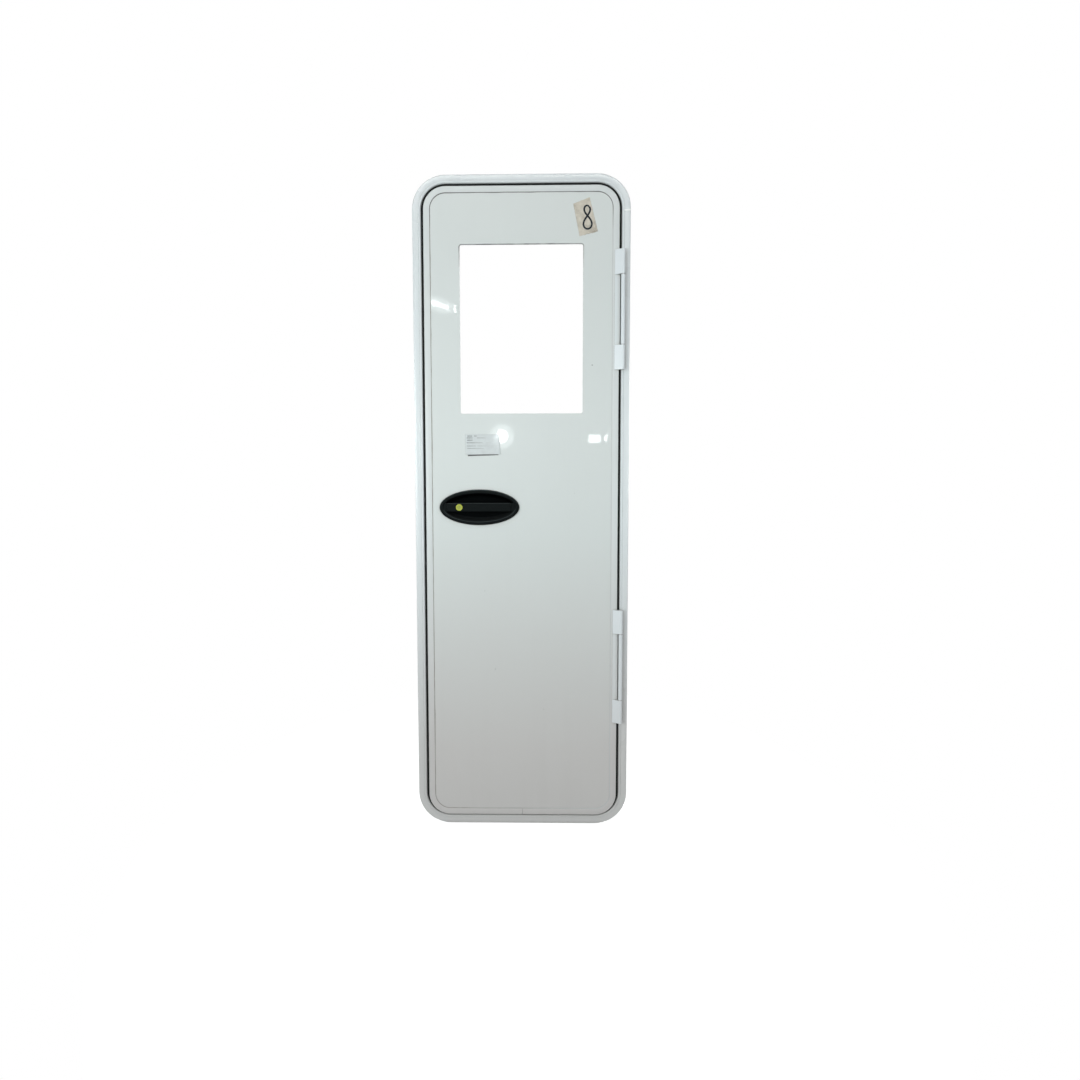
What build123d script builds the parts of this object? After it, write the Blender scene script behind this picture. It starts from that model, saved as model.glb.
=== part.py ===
from build123d import *
import os

# Caravan entry door: a bent frame, screwed over the cut-out in a wall, and the leaf that hangs in it.
# Seen from outside, +X is to the right, +Y goes in through the wall and +Z is up. Sizes are in millimetres.
# The wall's outer face is y = 0, and the origin is at mid sill, on the line of the fixing screws.

# Frame: a flange on the wall, a web through the wall and a stop leg that turns into the opening
FRAME_WIDTH = 574.0
FRAME_HEIGHT = 1754.0
FRAME_CORNER_RADIUS = 88.0
FRAME_DEPTH = 32.0
FLANGE_WIDTH = 23.5
FLANGE_PLATE = 2.0
RIB_WIDTH = 7.0
RIB_HEIGHT = 7.0
RIB_INNER_ROUND = 4.3
RIB_OUTER_ROUND = 0.6
WEB_SETBACK = 2.0
WEB_THICKNESS = 2.0
STOP_REACH = 26.0
STOP_THICKNESS = 2.0
SCREW_SETBACK = 14.0
SCREW_HOLE_RADIUS = 2.1
JAMB_SCREW_SPREADS = (460.0, 1380.0)
SILL_SCREW_SPREAD = 240.0

# Cover strip: crowned, laid over the flange plate and its screws, with its butt joint on the hinge side
STRIP_WRAP = 1.8
STRIP_FIT = 0.15
STRIP_RISE = 6.2
STRIP_CROWN = 0.8
STRIP_EDGE_ROUND = 3.4
STRIP_WALL_GAP = 0.4
STRIP_CHANNEL_WIDTH = 10.0
STRIP_CHANNEL_DEPTH = 2.2
STRIP_JOINT_DROP = 94.5
STRIP_JOINT_GAP = 4.5

# Running gaps between the leaf and the frame
SIDE_GAP = 6.5
HEAD_GAP = 8.5
SILL_GAP = 5.0
SEAL_GAP = 5.0
BULB_DEPTH = 9.0
BULB_ROUND = 3.5
STOP_BULB_WIDTH = 9.0
STOP_SEAL_BASE = 2.0

# Leaf: a sandwich panel in an edge profile whose front band overhangs the body
LEAF_THICKNESS = 30.0
LEAF_PROUD = 5.0
BAND_WIDTH = 16.5
BAND_STEP = 1.5
BAND_CROWN = 0.6
LIP_OVERHANG = 8.0
LIP_THICKNESS = 3.0
LIP_ROUND = 1.2
EDGE_WALL = 1.6
EDGE_ROUND = 0.8
BACK_FLANGE_WIDTH = 14.0
BUTT_GAP = 0.6
OUTER_SKIN = 1.2
INNER_SKIN = 3.0

# Window cut-out, open right through: a bare lip of outer skin for the glazing rubber, then timber round it
WINDOW_SIDE = 95.0
WINDOW_HEIGHT = 440.0
WINDOW_CORNER_RADIUS = 5.0
WINDOW_DROP = 151.0
WINDOW_LIP = 11.0
TIMBER_WIDTH = 28.0

# Hinges: a long frame knuckle between two leaf knuckles on one pin, with a leaf plate beside it
HINGE_OUT = 9.0
KNUCKLE_RADIUS = 5.5
KNUCKLE_CLEARANCE = 5.0
FRAME_KNUCKLE_LENGTH = 180.0
LEAF_KNUCKLE_LENGTH = 64.0
KNUCKLE_END_GAP = 1.5
WING_WIDTH = 12.0
WING_EDGE = 0.8
PLATE_OVERHANG = 2.2
HINGE_PIN_RADIUS = 3.0
HINGE_PIN_FIT = 0.08
UPPER_HINGE_DROP = 321.5
LOWER_HINGE_RISE = 417.5

# Handle: an oval dish let into the leaf, with a grip bar across it that carries the lock
HANDLE_WIDTH = 214.0
HANDLE_HEIGHT = 96.0
HANDLE_INSET = 143.2
HANDLE_DROP = 250.5
HANDLE_PROUD = 5.0
RIM_WIDTH = 9.5
RIM_ROUND = 3.5
RIM_INNER_ROUND = 2.6
DISH_DEPTH = 19.0
DISH_TAPER = 8.0
DISH_FLOOR_ROUND = 8.0
DISH_WALL = 2.0
DISH_FIT = 1.0
BAR_END_MARGIN = 21.5
BAR_HEIGHT = 23.0
BAR_THICKNESS = 10.0
BAR_PROUD = 3.5
BAR_END_ROUND = 2.5
BAR_EDGE_ROUND = 2.0
BAR_OFFSET = -1.0
SCOOP_RADIUS = 8.0
SCOOP_DEPTH = 4.0
SCOOP_MARGIN = 9.0
PIVOT_PIN_RADIUS = 2.0
PIVOT_PIN_FIT = 0.05
PIVOT_FROM_TOP = 4.0
PIVOT_FROM_BACK = 3.5
PIVOT_PIN_SEAT = 4.5
PIVOT_PIN_GRIP = 10.0
LUG_SETBACK = 1.2
LUG_BACKING = 4.0
LUG_GAP = 1.0

# Lock in the grip bar
LOCK_SETBACK = 32.3
BARREL_RADIUS = 8.8
BARREL_FIT = 0.05
BARREL_PROUD = 0.8
BARREL_LENGTH = 17.5
BARREL_CHAMFER = 0.6
PLUG_RADIUS = 5.8
PLUG_FIT = 0.08
PLUG_SETBACK = 0.3
PLUG_LENGTH = 14.0
KEYWAY_HEIGHT = 6.4
KEYWAY_WIDTH = 1.6
KEYWAY_DEPTH = 6.0

# Latch in the leaf's edge, drawn back, and its keeper on the frame
LOCK_BLOCK_MARGIN = 18.0
FOREND_LENGTH = 150.0
FOREND_WIDTH = 15.5
FOREND_BACK_MARGIN = 2.5
FOREND_FIT = 0.2
LATCH_HEIGHT = 26.0
LATCH_THICKNESS = 7.0
LATCH_LENGTH = 24.0
LATCH_BEVEL = 5.0
LATCH_FIT = 0.3
KEEPER_LENGTH = 110.0
KEEPER_WIDTH = 18.0
KEEPER_PLATE = 1.5
KEEPER_LUG_LENGTH = 40.0
KEEPER_LUG_REACH = 9.0
KEEPER_SEAL_GAP = 0.5

# Inside handle
INNER_PLATE_THICKNESS = 6.0
INNER_PLATE_ROUND = 3.0
LEVER_HEEL = 12.0
LEVER_GAP = 15.0
LEVER_THICKNESS = 9.0
LEVER_WIDTH = 18.0
LEVER_LENGTH = 118.0
LEVER_ROUND = 2.5

# Lines worked out from the sizes above
FRAME_BOTTOM = SCREW_SETBACK - FLANGE_WIDTH
FRAME_TOP = FRAME_BOTTOM + FRAME_HEIGHT
FRAME_MIDDLE = (FRAME_BOTTOM + FRAME_TOP) / 2
OPEN_HALF_WIDTH = FRAME_WIDTH / 2 - FLANGE_WIDTH
OPEN_HALF_HEIGHT = FRAME_HEIGHT / 2 - FLANGE_WIDTH
OPEN_RADIUS = FRAME_CORNER_RADIUS - FLANGE_WIDTH
STOP_FRONT = FRAME_DEPTH - STOP_THICKNESS

LEAF_HALF_WIDTH = OPEN_HALF_WIDTH - SIDE_GAP
LEAF_HALF_HEIGHT = OPEN_HALF_HEIGHT - (HEAD_GAP + SILL_GAP) / 2
LEAF_MIDDLE = FRAME_MIDDLE + (SILL_GAP - HEAD_GAP) / 2
LEAF_RADIUS = OPEN_RADIUS - SIDE_GAP
LEAF_TOP = LEAF_MIDDLE + LEAF_HALF_HEIGHT
LEAF_BOTTOM = LEAF_MIDDLE - LEAF_HALF_HEIGHT
LEAF_FRONT = -RIB_HEIGHT - LEAF_PROUD
LEAF_BACK = LEAF_FRONT + LEAF_THICKNESS
LIP_BACK = LEAF_FRONT + LIP_THICKNESS
PANEL_INSET = LIP_OVERHANG + EDGE_WALL
PANEL_HALF_WIDTH = LEAF_HALF_WIDTH - PANEL_INSET
PANEL_HALF_HEIGHT = LEAF_HALF_HEIGHT - PANEL_INSET
PANEL_RADIUS = LEAF_RADIUS - PANEL_INSET
SKIN_FRONT = LEAF_FRONT + BAND_STEP
CORE_FRONT = SKIN_FRONT + OUTER_SKIN
SKIN_BACK = LEAF_BACK - EDGE_WALL
CORE_BACK = SKIN_BACK - INNER_SKIN

WINDOW_HALF_WIDTH = LEAF_HALF_WIDTH - WINDOW_SIDE
WINDOW_TOP = LEAF_TOP - WINDOW_DROP
WINDOW_BOTTOM = WINDOW_TOP - WINDOW_HEIGHT
WINDOW_MIDDLE = (WINDOW_TOP + WINDOW_BOTTOM) / 2
TIMBER_HALF_WIDTH = WINDOW_HALF_WIDTH + WINDOW_LIP
TIMBER_TOP = WINDOW_TOP + WINDOW_LIP
TIMBER_BOTTOM = WINDOW_BOTTOM - WINDOW_LIP

HINGE_X = LEAF_HALF_WIDTH + HINGE_OUT
HINGE_Y = -RIB_HEIGHT - KNUCKLE_CLEARANCE - KNUCKLE_RADIUS
UPPER_HINGE_Z = LEAF_TOP - UPPER_HINGE_DROP
LOWER_HINGE_Z = LEAF_BOTTOM + LOWER_HINGE_RISE

HANDLE_X = HANDLE_INSET - LEAF_HALF_WIDTH
HANDLE_Z = WINDOW_BOTTOM - HANDLE_DROP
RIM_FRONT = SKIN_FRONT - HANDLE_PROUD
DISH_FLOOR = SKIN_FRONT + DISH_DEPTH
BAR_FRONT = SKIN_FRONT - BAR_PROUD
BAR_BACK = BAR_FRONT + BAR_THICKNESS
BAR_X = HANDLE_X + BAR_OFFSET
BAR_LENGTH = HANDLE_WIDTH - 2 * BAR_END_MARGIN
PIVOT_Y = BAR_BACK - PIVOT_FROM_BACK
PIVOT_Z = HANDLE_Z + BAR_HEIGHT / 2 - PIVOT_FROM_TOP
LOCK_X = BAR_X - BAR_LENGTH / 2 + LOCK_SETBACK
BARREL_FRONT = BAR_FRONT - BARREL_PROUD
LATCH_EDGE_X = LIP_OVERHANG - LEAF_HALF_WIDTH
FOREND_BACK = LEAF_BACK - FOREND_BACK_MARGIN
LATCH_Y = FOREND_BACK - FOREND_WIDTH / 2
SEAL_BACK = LIP_BACK + SEAL_GAP + BULB_DEPTH


def outline(*points):
    """A face with straight sides through the points."""
    return make_face(Polyline(*points, close=True))


def round_corners(face, radius, *corners):
    """The face with the named corners rounded."""
    picked = [v for v in face.vertices() if any(abs(v.X - x) + abs(v.Y - y) < 1e-6 for x, y in corners)]
    return fillet(picked, radius)


def box_between(x_range, y_range, z_range):
    """A box that fills three ranges."""
    lows, highs = zip(x_range, y_range, z_range)
    middle = [(low + high) / 2 for low, high in zip(lows, highs)]
    return Pos(*middle) * Box(*[high - low for low, high in zip(lows, highs)])


def slab(sketch, front, back):
    """A sketch drawn as seen from outside, made solid between two depths."""
    return extrude(Plane.XZ.offset(-back) * sketch, amount=back - front)


def round_bar(x, z, radius, front, back):
    """A cylinder along the depth of the door."""
    return slab(Pos(x, z) * Circle(radius), front, back)


def cross_pin(x_from, x_to, radius):
    """A cylinder along the grip bar's pivot line."""
    return Pos(x_from, PIVOT_Y, PIVOT_Z) * Rot(0, 90, 0) * Cylinder(
        radius, x_to - x_from, align=(Align.CENTER, Align.CENTER, Align.MIN)
    )


def ring(section, half_width, half_height, radius, middle):
    """Carries a section round a rounded rectangle: its x runs outwards from the line, its y is the depth."""
    run_x = half_width - radius
    run_z = half_height - radius
    side = extrude(Pos(half_width, 0, 0) * section, amount=run_z, dir=(0, 0, 1))
    corner = revolve(Pos(half_width, 0, run_z) * section, Axis((run_x, 0, run_z), (0, -1, 0)), 90)
    top = extrude(Pos(0, 0, half_height) * Rot(0, -90, 0) * section, amount=run_x, dir=(1, 0, 0))
    quarter = side + corner + top
    half = quarter + mirror(quarter, about=Plane.YZ)
    return Pos(0, 0, middle) * (half + mirror(half, about=Plane.XY))


def frame_ring(section):
    """A ring round the frame's opening line."""
    return ring(section, OPEN_HALF_WIDTH, OPEN_HALF_HEIGHT, OPEN_RADIUS, FRAME_MIDDLE)


def screw_places():
    """Centres of the fixing screws, as seen from outside."""
    jamb_x = OPEN_HALF_WIDTH + SCREW_SETBACK
    places = []
    for spread in JAMB_SCREW_SPREADS:
        for z in (FRAME_MIDDLE - spread / 2, FRAME_MIDDLE + spread / 2):
            places += [(-jamb_x, z), (jamb_x, z)]
    for z in (0.0, 2 * FRAME_MIDDLE):
        places += [(-SILL_SCREW_SPREAD / 2, z), (SILL_SCREW_SPREAD / 2, z)]
    return places


def frame_profile():
    """The bent profile: ribbed flange, web and stop leg, drilled for its screws."""
    plate_edge = FLANGE_WIDTH - STRIP_WRAP
    web_back = WEB_SETBACK + WEB_THICKNESS
    section = outline(
        (0, -RIB_HEIGHT),
        (RIB_WIDTH, -RIB_HEIGHT),
        (RIB_WIDTH, -FLANGE_PLATE),
        (plate_edge, -FLANGE_PLATE),
        (plate_edge, 0),
        (web_back, 0),
        (web_back, FRAME_DEPTH),
        (-STOP_REACH, FRAME_DEPTH),
        (-STOP_REACH, STOP_FRONT),
        (WEB_SETBACK, STOP_FRONT),
        (WEB_SETBACK, 0),
        (0, 0),
    )
    section = round_corners(section, RIB_INNER_ROUND, (0, -RIB_HEIGHT))
    section = round_corners(section, RIB_OUTER_ROUND, (RIB_WIDTH, -RIB_HEIGHT))
    solid = frame_ring(section)
    for x, z in screw_places():
        solid -= round_bar(x, z, SCREW_HOLE_RADIUS, -FLANGE_PLATE - 1, 1)
    return solid


def frame_cover_strip():
    """The crowned strip over the flange plate, hollow over the screws and cut once for its joint."""
    inner = RIB_WIDTH + STRIP_FIT
    plate_edge = FLANGE_WIDTH - STRIP_WRAP + STRIP_FIT
    channel = (SCREW_SETBACK - STRIP_CHANNEL_WIDTH / 2, SCREW_SETBACK + STRIP_CHANNEL_WIDTH / 2)
    channel_top = -FLANGE_PLATE - STRIP_CHANNEL_DEPTH
    under = Polyline(
        (inner, -STRIP_RISE),
        (inner, -FLANGE_PLATE),
        (channel[0], -FLANGE_PLATE),
        (channel[0], channel_top),
        (channel[1], channel_top),
        (channel[1], -FLANGE_PLATE),
        (plate_edge, -FLANGE_PLATE),
        (plate_edge, -STRIP_WALL_GAP),
        (FLANGE_WIDTH, -STRIP_WALL_GAP),
        (FLANGE_WIDTH, -STRIP_RISE),
    )
    middle = ((inner + FLANGE_WIDTH) / 2, -STRIP_RISE - STRIP_CROWN)
    crown = ThreePointArc((FLANGE_WIDTH, -STRIP_RISE), middle, (inner, -STRIP_RISE))
    section = make_face(under + crown)
    section = round_corners(section, STRIP_EDGE_ROUND, (FLANGE_WIDTH, -STRIP_RISE))
    joint = FRAME_TOP - STRIP_JOINT_DROP
    cut = box_between(
        (OPEN_HALF_WIDTH, FRAME_WIDTH),
        (-FRAME_DEPTH, FRAME_DEPTH),
        (joint - STRIP_JOINT_GAP / 2, joint + STRIP_JOINT_GAP / 2),
    )
    return frame_ring(section) - cut


def weather_seal():
    """Rubber bulb in the gap, held on the web behind the flange's rib."""
    front = LIP_BACK + SEAL_GAP
    inner = SEAL_GAP - SIDE_GAP - LIP_OVERHANG
    section = outline(
        (WEB_SETBACK, 0),
        (WEB_SETBACK, SEAL_BACK),
        (inner, SEAL_BACK),
        (inner, front),
        (0, front),
        (0, 0),
    )
    section = round_corners(section, BULB_ROUND, (inner, front), (inner, SEAL_BACK), (0, front))
    return frame_ring(section)


def stop_seal():
    """Rubber bulb on the stop leg, behind the leaf's back flange."""
    base_front = STOP_FRONT - STOP_SEAL_BASE
    bulb_front = LEAF_BACK + SEAL_GAP
    bulb_inner = -STOP_REACH + 1
    bulb_outer = bulb_inner + STOP_BULB_WIDTH
    base = Polyline(
        (bulb_inner, base_front),
        (bulb_inner, STOP_FRONT),
        (WEB_SETBACK, STOP_FRONT),
        (WEB_SETBACK, base_front),
        (bulb_outer, base_front),
    )
    crest = ((bulb_inner + bulb_outer) / 2, bulb_front)
    bulb = ThreePointArc((bulb_outer, base_front), crest, (bulb_inner, base_front))
    return frame_ring(make_face(base + bulb))


def keeper():
    """Angle bracket on the latch jamb: a plate on the web and a lug that stands in front of the latch."""
    face_x = -OPEN_HALF_WIDTH - WEB_SETBACK
    front = SEAL_BACK + KEEPER_SEAL_GAP
    plate = box_between(
        (face_x, face_x + KEEPER_PLATE),
        (front, front + KEEPER_WIDTH),
        (HANDLE_Z - KEEPER_LENGTH / 2, HANDLE_Z + KEEPER_LENGTH / 2),
    )
    lug = box_between(
        (face_x, face_x + KEEPER_LUG_REACH),
        (front, front + KEEPER_PLATE),
        (HANDLE_Z - KEEPER_LUG_LENGTH / 2, HANDLE_Z + KEEPER_LUG_LENGTH / 2),
    )
    return plate + lug


def knuckle(section, length, middle):
    """A hinge knuckle of one section, bored for the pin and centred on a height."""
    solid = extrude(Pos(HINGE_X, HINGE_Y, middle - length / 2) * section, amount=length)
    bore = Pos(HINGE_X, HINGE_Y, middle) * Cylinder(HINGE_PIN_RADIUS + HINGE_PIN_FIT, length + 2)
    return solid - bore


def frame_knuckle(middle):
    """The long middle knuckle, on a foot that stands on the flat of the flange's rib."""
    foot_left = OPEN_HALF_WIDTH + RIB_INNER_ROUND - HINGE_X
    foot_right = OPEN_HALF_WIDTH + RIB_WIDTH - RIB_OUTER_ROUND - HINGE_X
    foot = outline(
        (foot_left, 0),
        (foot_right, 0),
        (foot_right, -RIB_HEIGHT - HINGE_Y),
        (foot_left, -RIB_HEIGHT - HINGE_Y),
    )
    return knuckle(Circle(KNUCKLE_RADIUS) + foot, FRAME_KNUCKLE_LENGTH, middle)


def leaf_knuckle(middle):
    """A short end knuckle: its wing lies on the leaf's band and rises to the barrel."""
    seat = LEAF_FRONT - HINGE_Y
    wing = outline(
        (-HINGE_OUT - WING_WIDTH, seat),
        (-HINGE_OUT, seat),
        (-HINGE_OUT, seat - WING_EDGE),
        (-HINGE_OUT - WING_WIDTH, seat - WING_EDGE),
    )
    section = make_hull(Circle(KNUCKLE_RADIUS).edges() + wing.edges())
    return knuckle(section, LEAF_KNUCKLE_LENGTH, middle)


def leaf_plate(middle):
    """The flat of the hinge between its leaf knuckles, on the band and a little over the gap."""
    half_length = FRAME_KNUCKLE_LENGTH / 2 + KNUCKLE_END_GAP
    return box_between(
        (LEAF_HALF_WIDTH - WING_WIDTH, LEAF_HALF_WIDTH + PLATE_OVERHANG),
        (LEAF_FRONT - WING_EDGE, LEAF_FRONT),
        (middle - half_length, middle + half_length),
    )


def hinge_pin(middle):
    """The pin through all three knuckles of a hinge."""
    length = FRAME_KNUCKLE_LENGTH + 2 * (KNUCKLE_END_GAP + LEAF_KNUCKLE_LENGTH)
    return Pos(HINGE_X, HINGE_Y, middle) * Cylinder(HINGE_PIN_RADIUS, length)


def leaf_edge_profile():
    """The leaf's edge: crowned band, overhanging lip, side wall and back flange, butted at the sill."""
    wall = -LIP_OVERHANG - EDGE_WALL
    back_end = -LIP_OVERHANG - BACK_FLANGE_WIDTH
    band_edge = LEAF_FRONT + BAND_CROWN
    under = Polyline(
        (0, band_edge),
        (0, LIP_BACK),
        (-LIP_OVERHANG, LIP_BACK),
        (-LIP_OVERHANG, LEAF_BACK),
        (back_end, LEAF_BACK),
        (back_end, SKIN_BACK),
        (wall, SKIN_BACK),
        (wall, SKIN_FRONT),
        (-BAND_WIDTH, SKIN_FRONT),
        (-BAND_WIDTH, band_edge),
    )
    crown = ThreePointArc((-BAND_WIDTH, band_edge), (-BAND_WIDTH / 2, LEAF_FRONT), (0, band_edge))
    section = make_face(under + crown)
    section = round_corners(section, LIP_ROUND, (0, band_edge))
    section = round_corners(section, EDGE_ROUND, (0, LIP_BACK), (-BAND_WIDTH, band_edge))
    section = round_corners(section, EDGE_ROUND, (-LIP_OVERHANG, LEAF_BACK), (back_end, LEAF_BACK))
    solid = ring(section, LEAF_HALF_WIDTH, LEAF_HALF_HEIGHT, LEAF_RADIUS, LEAF_MIDDLE)
    solid -= box_between(
        (-BUTT_GAP / 2, BUTT_GAP / 2),
        (LEAF_FRONT - 1, LEAF_BACK + 1),
        (LEAF_BOTTOM - 1, LEAF_BOTTOM + LIP_OVERHANG + BACK_FLANGE_WIDTH + 1),
    )
    return solid - forend_blank(FOREND_FIT, EDGE_WALL)


def panel_sketch():
    """The panel's outline inside the edge profile."""
    return Pos(0, LEAF_MIDDLE) * RectangleRounded(2 * PANEL_HALF_WIDTH, 2 * PANEL_HALF_HEIGHT, PANEL_RADIUS)


def window_sketch(margin):
    """The window cut-out, with a margin round it."""
    return Pos(0, WINDOW_MIDDLE) * RectangleRounded(
        2 * (WINDOW_HALF_WIDTH + margin), WINDOW_HEIGHT + 2 * margin, WINDOW_CORNER_RADIUS
    )


def handle_oval(inset):
    """The handle's oval, drawn in from its edge."""
    return Pos(HANDLE_X, HANDLE_Z) * Ellipse(HANDLE_WIDTH / 2 - inset, HANDLE_HEIGHT / 2 - inset)


def handle_cut():
    """The hole in the panel that takes the dish."""
    return handle_oval(RIM_WIDTH - DISH_WALL - DISH_FIT)


def outer_skin():
    """Outer sheet with its two cut-outs."""
    return slab(panel_sketch() - window_sketch(0) - handle_cut(), SKIN_FRONT, CORE_FRONT)


def inner_skin():
    """Inner sheet, cut back to the timber round the window."""
    return slab(panel_sketch() - window_sketch(WINDOW_LIP), CORE_BACK, SKIN_BACK)


def core_box(x_range, z_range):
    """A block of the panel's core."""
    return box_between(x_range, (CORE_FRONT, CORE_BACK), z_range)


def window_rail(bottom):
    """A timber across the whole panel, over or under the window."""
    return core_box((-PANEL_HALF_WIDTH, PANEL_HALF_WIDTH), (bottom, bottom + TIMBER_WIDTH))


def window_stile(side):
    """A timber beside the window: side is -1 at the latch and 1 at the hinges."""
    inner = side * TIMBER_HALF_WIDTH
    outer = inner + side * TIMBER_WIDTH
    return core_box((min(inner, outer), max(inner, outer)), (TIMBER_BOTTOM, TIMBER_TOP))


def lock_block_ranges():
    """Where the timber block round the handle lies, as seen from outside."""
    half_height = HANDLE_HEIGHT / 2 + LOCK_BLOCK_MARGIN
    right = HANDLE_X + HANDLE_WIDTH / 2 + LOCK_BLOCK_MARGIN
    return (-PANEL_HALF_WIDTH, right), (HANDLE_Z - half_height, HANDLE_Z + half_height)


def lock_block():
    """Timber block with the handle's hole through it and a pocket for the latch."""
    pocket = latch_blank(LATCH_FIT)
    return core_box(*lock_block_ranges()) - slab(handle_cut(), CORE_FRONT - 1, CORE_BACK + 1) - pocket


def foam_core():
    """Foam over the window, on both sides of it, and below it round the lock block."""
    panel = slab(panel_sketch(), CORE_FRONT, CORE_BACK)
    whole = (-PANEL_HALF_WIDTH, PANEL_HALF_WIDTH)
    over = panel & core_box(whole, (TIMBER_TOP + TIMBER_WIDTH, LEAF_TOP))
    under = panel & core_box(whole, (LEAF_BOTTOM, TIMBER_BOTTOM - TIMBER_WIDTH))
    under -= core_box(*lock_block_ranges())
    timber_edge = TIMBER_HALF_WIDTH + TIMBER_WIDTH
    beside = (TIMBER_BOTTOM, TIMBER_TOP)
    left = core_box((-PANEL_HALF_WIDTH, -timber_edge), beside)
    right = core_box((timber_edge, PANEL_HALF_WIDTH), beside)
    return Compound([over.solid(), left.solid(), right.solid(), under.solid()])


def forend_blank(fit, depth):
    """The latch plate's place in the leaf's edge, with a clearance round it."""
    half_length = FOREND_LENGTH / 2 + fit
    return box_between(
        (LATCH_EDGE_X, LATCH_EDGE_X + depth),
        (FOREND_BACK - FOREND_WIDTH - fit, FOREND_BACK + fit),
        (HANDLE_Z - half_length, HANDLE_Z + half_length),
    )


def latch_blank(fit):
    """The latch's place in the leaf's edge, with a clearance round it."""
    half_height = LATCH_HEIGHT / 2 + fit
    half_depth = LATCH_THICKNESS / 2 + fit
    return box_between(
        (LATCH_EDGE_X, LATCH_EDGE_X + LATCH_LENGTH + fit),
        (LATCH_Y - half_depth, LATCH_Y + half_depth),
        (HANDLE_Z - half_height, HANDLE_Z + half_height),
    )


def latch_forend():
    """The plate in the leaf's edge that the latch comes out of."""
    return forend_blank(0, EDGE_WALL) - latch_blank(LATCH_FIT)


def latch_bolt():
    """The latch, drawn back level with its plate and bevelled on the side that meets the keeper first."""
    bolt = latch_blank(0)
    nose = bolt.edges().filter_by(Axis.Z).sort_by(Axis.X)[:2].sort_by(Axis.Y)[-1]
    return chamfer(nose, LATCH_BEVEL)


def pivot_ends():
    """The bar's two ends, and the way from each one out to its lug."""
    return (BAR_X - BAR_LENGTH / 2, -1), (BAR_X + BAR_LENGTH / 2, 1)


def dish_hollow():
    """The hollow of the dish, with a pivot lug left standing beyond each end of the bar."""
    mouth = Plane.XZ.offset(-RIM_FRONT) * handle_oval(RIM_WIDTH)
    floor = Plane.XZ.offset(-DISH_FLOOR) * handle_oval(RIM_WIDTH + DISH_TAPER)
    hollow = loft([mouth, floor])
    hollow = fillet(hollow.edges().sort_by(Axis.Y)[-1:], DISH_FLOOR_ROUND)
    for end, way in pivot_ends():
        near = end + way * LUG_GAP
        far = HANDLE_X + way * HANDLE_WIDTH / 2
        hollow -= box_between(
            (min(near, far), max(near, far)),
            (BAR_FRONT + LUG_SETBACK, PIVOT_Y + LUG_BACKING),
            (HANDLE_Z - BAR_HEIGHT / 2, HANDLE_Z + BAR_HEIGHT / 2),
        )
    return hollow


def handle_bezel():
    """The oval moulding: a rounded rim on the skin and a tapered dish behind it."""
    rim = slab(handle_oval(0), RIM_FRONT, SKIN_FRONT)
    rim = fillet(rim.edges().sort_by(Axis.Y)[:1], RIM_ROUND)
    root = Plane.XZ.offset(-SKIN_FRONT) * handle_oval(RIM_WIDTH - DISH_WALL)
    base = Plane.XZ.offset(-DISH_FLOOR - DISH_WALL) * handle_oval(RIM_WIDTH - DISH_WALL + DISH_TAPER)
    solid = rim + loft([root, base]) - dish_hollow()
    for end, way in pivot_ends():
        deep = end + way * (LUG_GAP + PIVOT_PIN_SEAT)
        solid -= cross_pin(min(end, deep), max(end, deep), PIVOT_PIN_RADIUS + PIVOT_PIN_FIT)
    mouth_edge = solid.edges().group_by(Axis.Y)[0].sort_by(SortBy.LENGTH)[0]
    return fillet(mouth_edge, RIM_INNER_ROUND)


def handle_pivot_pins():
    """Two short pins, from the lugs into the ends of the grip bar."""
    pins = []
    for end, way in pivot_ends():
        outer = end + way * (LUG_GAP + PIVOT_PIN_SEAT)
        inner = end - way * PIVOT_PIN_GRIP
        pins.append(cross_pin(min(outer, inner), max(outer, inner), PIVOT_PIN_RADIUS).solid())
    return Compound(pins)


def handle_bar():
    """The grip: soft-edged, hollowed behind for the fingers, bored for its pins and the lock."""
    front_view = Pos(BAR_X, HANDLE_Z) * RectangleRounded(BAR_LENGTH, BAR_HEIGHT, BAR_END_ROUND)
    bar = slab(front_view, BAR_FRONT, BAR_BACK)
    bar = fillet(bar.faces().sort_by(Axis.Y)[0].edges(), BAR_EDGE_ROUND)
    scoop_from = LOCK_X + BARREL_RADIUS + SCOOP_MARGIN
    scoop_to = BAR_X + BAR_LENGTH / 2 - PIVOT_PIN_GRIP - SCOOP_MARGIN
    scoop_y = BAR_BACK - SCOOP_DEPTH + SCOOP_RADIUS
    scoop_z = HANDLE_Z - BAR_HEIGHT / 2
    scoop = Pos(scoop_from, scoop_y, scoop_z) * Rot(0, 90, 0) * Cylinder(
        SCOOP_RADIUS, scoop_to - scoop_from, align=(Align.CENTER, Align.CENTER, Align.MIN)
    )
    bar -= scoop
    for end, way in pivot_ends():
        deep = end - way * PIVOT_PIN_GRIP
        bar -= cross_pin(min(end, deep), max(end, deep), PIVOT_PIN_RADIUS + PIVOT_PIN_FIT)
    return bar - round_bar(LOCK_X, HANDLE_Z, BARREL_RADIUS + BARREL_FIT, BAR_FRONT - 1, BAR_BACK + 1)


def lock_barrel():
    """The lock's housing through the grip bar."""
    barrel = round_bar(LOCK_X, HANDLE_Z, BARREL_RADIUS, BARREL_FRONT, BARREL_FRONT + BARREL_LENGTH)
    barrel = chamfer(barrel.edges().sort_by(Axis.Y)[:1], BARREL_CHAMFER)
    back = BARREL_FRONT + PLUG_SETBACK + PLUG_LENGTH + PLUG_FIT
    return barrel - round_bar(LOCK_X, HANDLE_Z, PLUG_RADIUS + PLUG_FIT, BARREL_FRONT - 1, back)


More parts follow.
